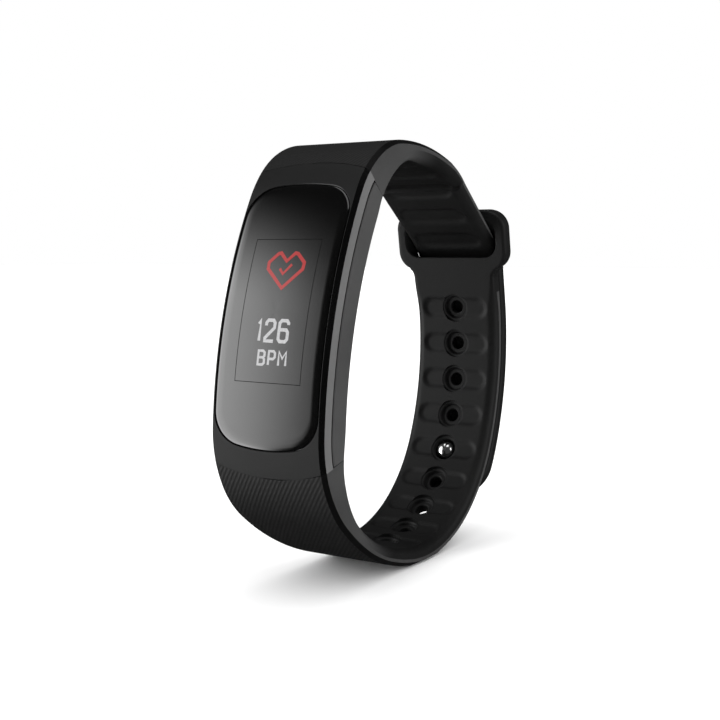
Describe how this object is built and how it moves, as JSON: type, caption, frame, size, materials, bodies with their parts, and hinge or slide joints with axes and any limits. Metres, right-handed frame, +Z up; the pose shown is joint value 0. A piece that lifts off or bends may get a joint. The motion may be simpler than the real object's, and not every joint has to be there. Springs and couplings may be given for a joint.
{
  "type": "fitness tracker band",
  "caption": "Slim wrist tracker: curved screen housing on a rubber strap closed into a loop, its tail threaded through a rectangular loop and held by a metal stud.",
  "frame": {"origin": "bottom centre of the object's box, on the surface the loop stands on", "axes": "+X along the wearer's wrist, so across the band; the screen faces -Y and leans back; +Z up"},
  "size_m": [0.0222, 0.0648, 0.0684],
  "materials": {
    "cover_lens": "gloss, black printed back",
    "adhesive": "tacky black film",
    "display": "gloss",
    "flex": "polyimide film",
    "copper_foil": "bare foil",
    "housing_front": "fine satin",
    "housing_rear": "fine satin",
    "gasket": "matt",
    "sensor_glass": "gloss",
    "led": "clear resin",
    "photodiode": "dark resin",
    "gold_contact": "gold plated",
    "board": "solder mask",
    "chip": "moulded",
    "antenna": "fired",
    "battery": "foil pouch",
    "lead": "sleeved wire",
    "motor_steel": "brushed",
    "anchor_plate": "stamped",
    "screw_steel": "plated",
    "strap_rubber": "satin, finely ribbed outside",
    "stud_metal": "polished"
  },
  "bodies": {
    "tracker": {"cover_lens": "cover_lens", "lens_adhesive": "adhesive", "display_panel": "display", "display_flex": "flex", "touch_pad": "copper_foil", "front_housing": "housing_front", "housing_gasket": "gasket", "rear_housing": "housing_rear", "sensor_window": "sensor_glass", "heart_rate_leds": "led", "photodiode": "photodiode", "charging_contacts": "gold_contact", "main_board": "board", "processor_chip": "chip", "memory_chip": "chip", "motion_sensor_chip": "chip", "antenna": "antenna", "battery": "battery", "battery_leads": "lead", "motor_case": "motor_steel", "lower_anchor_plate": "anchor_plate", "upper_anchor_plate": "anchor_plate", "housing_screws": "screw_steel", "holed_strap": "strap_rubber", "upper_strap": "strap_rubber"},
    "tail": {"strap_tail": "strap_rubber", "clasp_stud": "stud_metal", "stud_button": "stud_metal"},
    "motor_rotor": {"motor_shaft": "motor_steel", "motor_weight": "motor_steel"}
  },
  "joints": [
    {"name": "tail_peel", "type": "hinge", "parent": "tracker", "child": "tail", "pos_m": [0, 0.03222, 0.02951], "axis": [1, 0, 0], "range_deg": [0, 60]},
    {"name": "motor_spin", "type": "hinge", "parent": "tracker", "child": "motor_rotor", "pos_m": [0, -0.02846, 0.02697], "axis": [1, 0, 0], "continuous": true}
  ]
}
